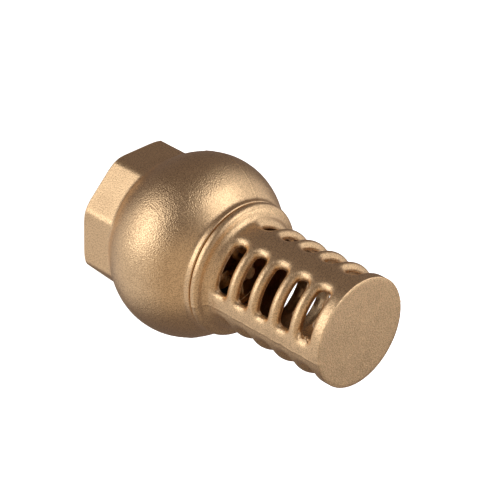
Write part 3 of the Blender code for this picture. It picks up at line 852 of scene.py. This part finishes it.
def nitrile(name):
    """Moulded rubber: nearly black, dull, with a faint orange-peel and a little dust."""
    material, start, place = new_finish(name)
    dust = start.node('ShaderNodeTexNoise', {}, {'Vector': place, 'Scale': 0.7, 'Detail': 4.0})
    peel = start.node('ShaderNodeTexNoise', {}, {'Vector': place, 'Scale': 4.0, 'Detail': 2.0})
    colour = (dust.between(0.45, 0.8) * 0.5).mix(RUBBER_BLACK, RUBBER_DUST)
    bump = start.node('ShaderNodeBump', {}, {'Height': peel, 'Distance': RUBBER_PEEL,
                                             'Strength': 1.0})
    set_finish(material, Base_Color=colour, Roughness=0.5 + dust * 0.2, Normal=bump)
    return material


rubber = nitrile('nitrile')
ring_r = (SPIGOT_R + RING_POCKET_R) / 2
ring_z = rim_z - RING_POCKET_DEPTH / 2
ring_section = [(ring_r + RING_SECTION_R * math.cos(math.tau * i / RING_SIDES),
                 ring_z + RING_SECTION_R * math.sin(math.tau * i / RING_SIDES))
                for i in range(RING_SIDES)]
add_piece('sealing_ring', lathe('sealing_ring', ring_section), rubber, ['o_ring'], 'housing')

# ------------------------------------------------------------
# Seat ring: turned brass with a rounded lip that the gasket closes on, pressed into the spigot.
# Four arms carry the hub that guides the lower end of the stem.
# ------------------------------------------------------------
SEAT_RING_R = 14.0
SEAT_BORE_R = 11.4
SEAT_RING_HEIGHT = 5.9
SEAT_PROUD = 0.6
SEAT_LIP_R = 12.4
SEAT_LIP_WIDTH = 0.9
SEAT_LIP_HEIGHT = 0.6
SPIDER_ARMS = 4
SPIDER_ARM_WIDTH = 2.0
SPIDER_ARM_HEIGHT = 1.8
ARM_STEP = 0.15
ARM_ROUND = 0.3
ARM_BITE = 1.0                  # how far an arm runs into its rim
LOWER_HUB_R = 3.6
LOWER_HUB_LENGTH = 4.4
LOWER_HUB_ROUND = 0.5
HUB_COLUMNS = 64
STEM_R = 2.0
GUIDE_HOLE_R = STEM_R + 0.1
TURNED_EDGE = 0.2
TOOL_PITCH = 0.22
TOOL_DEPTH = 0.000008           # metres
# dull turned brass, darkened in part as painted shade for the parts that lie in shadow inside the
# cage
TURNED_BRASS = (0.42, 0.25, 0.11)
TURNED_BRASS_DULL = (0.22, 0.12, 0.05)

seat_z = flange_z - SPIGOT_LENGTH - SEAT_PROUD
seat_end_z = seat_z + SEAT_RING_HEIGHT
lip_z = seat_z - SEAT_LIP_HEIGHT
lower_hub_z = seat_end_z - SPIDER_ARM_HEIGHT
lower_hub_end_z = lower_hub_z + LOWER_HUB_LENGTH


def machined_brass(name):
    """Turned brass: fine tool rings round the axis, smoother than the blasted skin, its dull colour
    darkened in part as painted shade.
    """
    material, start, place = new_finish(name)
    distance, level = from_axis(start, place)
    tool_line = start.node('ShaderNodeMath', {'operation': 'SINE'},
                           {0: (distance + level) * (math.tau / TOOL_PITCH)})
    wander = start.node('ShaderNodeTexNoise', {}, {'Vector': place, 'Scale': 0.6, 'Detail': 3.0})
    colour = (wander.between(0.35, 0.7) * 0.8).mix(TURNED_BRASS, TURNED_BRASS_DULL)
    bump = start.node('ShaderNodeBump', {}, {'Height': tool_line * wander,
                                             'Distance': TOOL_DEPTH, 'Strength': 1.0})
    set_finish(material, Base_Color=colour, Roughness=0.24 + wander * 0.18, Metallic=1.0,
               Normal=bump)
    return material


def spoked_ring(name, rim, arm, hub, count, first_angle, material):
    """Copy an arm round the axis and join it to its rim and its hub."""
    tree = Tree(name, Rim=rim, Arm=arm, Hub=hub, Arms=count, Turn=first_angle)
    share = tree.maths('DIVIDE', tree.node('GeometryNodeInputIndex'), tree.given('Arms'))
    angle = tree.maths('MULTIPLY_ADD', share, math.tau, tree.given('Turn'))
    turn = tree.node('ShaderNodeCombineXYZ', {}, {'Z': angle})
    points = tree.node('GeometryNodePoints', {}, {'Count': tree.given('Arms')})
    shapes = {key: tree.node('GeometryNodeObjectInfo', {}, {'Object': tree.given(key)},
                             output='Geometry') for key in ('Rim', 'Arm', 'Hub')}
    arms = tree.node('GeometryNodeInstanceOnPoints', {},
                     {'Points': points, 'Instance': shapes['Arm'], 'Rotation': turn})
    arms = tree.node('GeometryNodeRealizeInstances', {}, {'Geometry': arms})
    whole = tree.node('GeometryNodeMeshBoolean', {'operation': 'UNION', 'solver': 'MANIFOLD'},
                      {'Mesh 2': [shapes['Rim'], arms, shapes['Hub']]})
    return tree.mesh(name, whole, material)


def arm_mesh(name, start, end, width, low, high):
    """A straight arm with eased long edges, along +X."""
    bm = bmesh.new()
    bmesh.ops.create_cube(bm, size=MM, matrix=Matrix.Translation(
        Vector(((start + end) / 2, 0, (low + high) / 2)) * MM)
        @ Matrix.Diagonal((end - start, width, high - low, 1)))
    long_edges = [e for e in bm.edges if abs((e.verts[0].co - e.verts[1].co).x) > MM]
    bmesh.ops.bevel(bm, geom=long_edges, offset=ARM_ROUND * MM, segments=4, profile=0.5,
                    affect='EDGES')
    mesh = bpy.data.meshes.new(name)
    bm.to_mesh(mesh)
    bm.free()
    return mesh


turned_brass = machined_brass('machined_brass')
lip_in, lip_out = SEAT_LIP_R - SEAT_LIP_WIDTH / 2, SEAT_LIP_R + SEAT_LIP_WIDTH / 2
seat_outline = rounded([(SEAT_RING_R, seat_z), (SEAT_RING_R, seat_end_z),
                        (SEAT_BORE_R, seat_end_z), (SEAT_BORE_R, seat_z), (lip_in, seat_z),
                        (lip_in, lip_z), (lip_out, lip_z), (lip_out, seat_z)], TURNED_EDGE)
lower_hub = rounded([(LOWER_HUB_R, lower_hub_z), (LOWER_HUB_R, lower_hub_end_z),
                     (GUIDE_HOLE_R, lower_hub_end_z), (GUIDE_HOLE_R, lower_hub_z)],
                    LOWER_HUB_ROUND)
seat_mesh = spoked_ring(
    'valve_seat', as_object('rim', lathe('rim', seat_outline)),
    as_object('arm', arm_mesh('arm', (GUIDE_HOLE_R + LOWER_HUB_R) / 2, SEAT_BORE_R + ARM_BITE,
                              SPIDER_ARM_WIDTH, lower_hub_z + ARM_STEP, seat_end_z - ARM_STEP)),
    as_object('hub', lathe('hub', lower_hub, HUB_COLUMNS)), SPIDER_ARMS,
    STRAINER_TURN + math.pi / SPIDER_ARMS, turned_brass)
add_piece('valve_seat', seat_mesh, turned_brass, ['seat_ring'], 'housing', 30)

# ------------------------------------------------------------
# Upper guide: turned and milled brass, dropped in through the neck until its rim rests on the
# ledge behind the outlet thread. Its long hub guides the stem and stops the lifted disc.
# ------------------------------------------------------------
GUIDE_R = 16.0
GUIDE_RIM_WIDTH = 3.4
GUIDE_THICKNESS = 1.6
GUIDE_ARMS = 3
GUIDE_ARM_WIDTH = 2.4
GUIDE_HUB_R = 3.8
GUIDE_HUB_DROP = 0.9
GUIDE_HUB_ROUND = 0.4
GASKET_THICKNESS = 1.9
DISC_THICKNESS = 2.4
DISC_BOSS_HEIGHT = 2.5
LIFT = 6.0

gasket_z = lip_z - SEAM - GASKET_THICKNESS
disc_z = gasket_z - SEAM - DISC_THICKNESS
boss_z = disc_z - DISC_BOSS_HEIGHT
guide_z = THREAD_LENGTH + SEAM
guide_end_z = guide_z + GUIDE_THICKNESS
guide_hub_z = guide_z - GUIDE_HUB_DROP
guide_hub_end_z = boss_z - LIFT - SEAM
rim_in = GUIDE_R - GUIDE_RIM_WIDTH
rim_outline = rounded([(GUIDE_R, guide_z), (GUIDE_R, guide_end_z - ARM_STEP),
                       (rim_in, guide_end_z - ARM_STEP), (rim_in, guide_z)], TURNED_EDGE)
upper_hub = rounded([(GUIDE_HUB_R, guide_hub_z), (GUIDE_HUB_R, guide_hub_end_z),
                     (GUIDE_HOLE_R, guide_hub_end_z), (GUIDE_HOLE_R, guide_hub_z)],
                    GUIDE_HUB_ROUND)
guide_mesh = spoked_ring(
    'stem_guide', as_object('rim', lathe('rim', rim_outline)),
    as_object('arm', arm_mesh('arm', (GUIDE_HOLE_R + GUIDE_HUB_R) / 2, rim_in + ARM_BITE,
                              GUIDE_ARM_WIDTH, guide_z + ARM_STEP, guide_end_z)),
    as_object('hub', lathe('hub', upper_hub, HUB_COLUMNS)), GUIDE_ARMS, math.pi / 2, turned_brass)
add_piece('stem_guide', guide_mesh, turned_brass, ['upper_guide'], 'housing', 30)

# ------------------------------------------------------------
# Poppet: a turned stem through a brass disc, a rubber gasket, a washer and a nut. It lifts off
# the seat towards the outlet, and the stem slides in both hubs.
# ------------------------------------------------------------
STEM_HOLE_R = STEM_R + SEAM
STEM_REACH_LOW = 2.0
STEM_REACH_HIGH = 2.2
STEM_CHAMFER = 0.4
STEM_THREAD_PITCH = 0.7
STEM_THREAD_DEPTH = 0.22
STEM_RUN_OUT = 0.3
STEM_COLUMNS = 48
DISC_R = 14.3
DISC_BOSS_R = 4.2
DISC_ROUND = 0.4
GASKET_R = 13.8
GASKET_ROUND = 0.3
GASKET_DENT = 0.12              # print of the seat lip
WASHER_R = 9.5
WASHER_THICKNESS = 1.2
WASHER_ROUND = 0.25
NUT_ACROSS_FLATS = 7.0
NUT_THICKNESS = 2.4
NUT_CHAMFER_SLOPE = 0.58        # height lost per radius on the nut's turned corners
NUT_FACE_INSET = 0.1
NUT_COLUMNS = 96

washer_z = lip_z
nut_z = washer_z + WASHER_THICKNESS + SEAM
nut_end_z = nut_z + NUT_THICKNESS
stem_z = guide_hub_z - STEM_REACH_LOW
stem_end_z = lower_hub_end_z + STEM_REACH_HIGH
thread_start = washer_z + WASHER_THICKNESS
thread_end = lower_hub_z - SEAM


def stem_radius(z, around):
    """The stem with its thread under the nut, and chamfered ends."""
    run_out = min(1, (z - thread_start) / STEM_RUN_OUT, (thread_end - z) / STEM_RUN_OUT)
    groove = 0.5 + 0.5 * np.sin(math.tau * z / STEM_THREAD_PITCH - around)
    end = min(STEM_CHAMFER, z - stem_z, stem_end_z - z)
    return STEM_R - max(0, run_out) * STEM_THREAD_DEPTH * groove - (STEM_CHAMFER - end)


stem_around = np.linspace(0, math.tau, STEM_COLUMNS, endpoint=False)
stem_heights = ([stem_z, stem_z + STEM_CHAMFER] + spread(stem_z + 1, thread_start, 12)
                + spread(thread_start, thread_end, 44)
                + [thread_end, stem_end_z - STEM_CHAMFER, stem_end_z])
stem_rows = np.array([ring(stem_radius(z, stem_around), z, stem_around)
                      for z in stem_heights])
stem_mesh = grid_mesh('valve_stem', stem_rows, caps=(0, len(stem_heights) - 1))
add_piece('valve_stem', stem_mesh, turned_brass, ['poppet_stem'], 'poppet')

disc_end = disc_z + DISC_THICKNESS
disc_outline = rounded([(DISC_BOSS_R, boss_z), (DISC_BOSS_R, disc_z), (DISC_R, disc_z),
                        (DISC_R, disc_end), (STEM_HOLE_R, disc_end), (STEM_HOLE_R, boss_z)],
                       DISC_ROUND)
add_piece('valve_disc', lathe('valve_disc', disc_outline), turned_brass, ['poppet_disc'], 'poppet',
          30)

gasket_end = gasket_z + GASKET_THICKNESS
gasket_outline = rounded([(GASKET_R, gasket_z), (GASKET_R, gasket_end), (lip_out, gasket_end),
                          (SEAT_LIP_R, gasket_end - GASKET_DENT), (lip_in, gasket_end),
                          (STEM_HOLE_R, gasket_end), (STEM_HOLE_R, gasket_z)], GASKET_ROUND)
add_piece('disc_gasket', lathe('disc_gasket', gasket_outline), rubber, ['poppet_gasket'], 'poppet',
          30)

washer_outline = rounded([(WASHER_R, washer_z), (WASHER_R, washer_z + WASHER_THICKNESS),
                          (STEM_HOLE_R, washer_z + WASHER_THICKNESS), (STEM_HOLE_R, washer_z)],
                         WASHER_ROUND)
add_piece('clamp_washer', lathe('clamp_washer', washer_outline), turned_brass, ['gasket_washer'],
          'poppet', 30)

sixth = math.pi / 3
nut_around = np.linspace(0, math.tau, NUT_COLUMNS, endpoint=False)
hexagon = NUT_ACROSS_FLATS / 2 / np.cos((nut_around + sixth / 2) % sixth - sixth / 2)
nut_rows = []
for z in [nut_z] + spread(nut_z + 0.05, nut_end_z, 24) + [nut_end_z]:
    from_end = min(z - nut_z, nut_end_z - z)
    cone = NUT_ACROSS_FLATS / 2 - NUT_FACE_INSET + from_end / NUT_CHAMFER_SLOPE
    nut_rows.append((np.minimum(hexagon, cone), z))
nut_rows += [(STEM_HOLE_R, nut_end_z), (STEM_HOLE_R, nut_z)]
add_piece('lock_nut', lathe('lock_nut', nut_rows, NUT_COLUMNS), turned_brass, ['stem_nut'],
          'poppet', 30)

# ------------------------------------------------------------
# Return spring: stainless wire wound on a mandrel, with a closed turn at each end. It stands on
# the upper guide's arms and pushes the disc onto its seat.
# ------------------------------------------------------------
SPRING_R = 6.0
SPRING_WIRE_R = 0.45
SPRING_TURNS = 5.5
SPRING_CLOSED_SHARE = 0.1       # of the wire, laid flat at each end
SPRING_STEPS = 330
WIRE_SIDES = 14
STEEL = (0.62, 0.61, 0.58)
STEEL_DULL = (0.36, 0.35, 0.33)


def spring_steel(name):
    """Drawn stainless wire: bright grey, with faint die marks."""
    material, start, place = new_finish(name)
    marks = start.node('ShaderNodeTexNoise', {}, {'Vector': place, 'Scale': 1.2, 'Detail': 4.0})
    colour = (marks.between(0.4, 0.75) * 0.6).mix(STEEL, STEEL_DULL)
    set_finish(material, Base_Color=colour, Roughness=0.2 + marks * 0.16, Metallic=1.0)
    return material


def coil(name, material, radius, wire, turns, low, high):
    """A helix made point by point, its first and last turns laid flat, swept into wire."""
    tree = Tree(name, Radius=radius * MM, Wire=wire * MM, Turns=turns, Low=low * MM,
                High=high * MM, Closed=SPRING_CLOSED_SHARE)
    maths = tree.maths
    index = tree.node('GeometryNodeInputIndex')
    share = maths('DIVIDE', index, float(SPRING_STEPS))
    angle = maths('MULTIPLY', maths('MULTIPLY', share, tree.given('Turns')), math.tau)
    active = maths('SUBTRACT', 1.0, maths('MULTIPLY', tree.given('Closed'), 2.0))
    rise = maths('DIVIDE', maths('SUBTRACT', share, tree.given('Closed')), active)
    clamped = tree.node('ShaderNodeClamp', {}, {0: rise})
    span = maths('SUBTRACT', tree.given('High'), tree.given('Low'))
    height = maths('MULTIPLY_ADD', clamped, span, tree.given('Low'))
    place = tree.node('ShaderNodeCombineXYZ', {}, {
        'X': maths('MULTIPLY', maths('COSINE', angle), tree.given('Radius')),
        'Y': maths('MULTIPLY', maths('SINE', angle), tree.given('Radius')), 'Z': height})
    line = tree.node('GeometryNodeMeshLine', {}, {'Count': SPRING_STEPS + 1})
    line = tree.node('GeometryNodeSetPosition', {}, {'Geometry': line, 'Position': place})
    path = tree.node('GeometryNodeMeshToCurve', {}, {'Mesh': line})
    section = tree.node('GeometryNodeCurvePrimitiveCircle', {},
                        {'Resolution': WIRE_SIDES, 'Radius': tree.given('Wire')})
    wire_shape = tree.node('GeometryNodeCurveToMesh', {}, {'Curve': path, 'Profile Curve': section,
                                                           'Fill Caps': True})
    return tree.mesh(name, wire_shape, material)


steel = spring_steel('spring_steel')
spring_low = guide_end_z + SEAM
spring_high = disc_z - SEAM
spring_mesh = coil('spring_coil', steel, SPRING_R, SPRING_WIRE_R, SPRING_TURNS,
                   spring_low + SPRING_WIRE_R, spring_high - SPRING_WIRE_R)
spring = add_piece('spring_coil', spring_mesh, steel, ['return_spring'], 'housing')
1 - LIFT / (spring_high - spring_low)
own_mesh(spring)
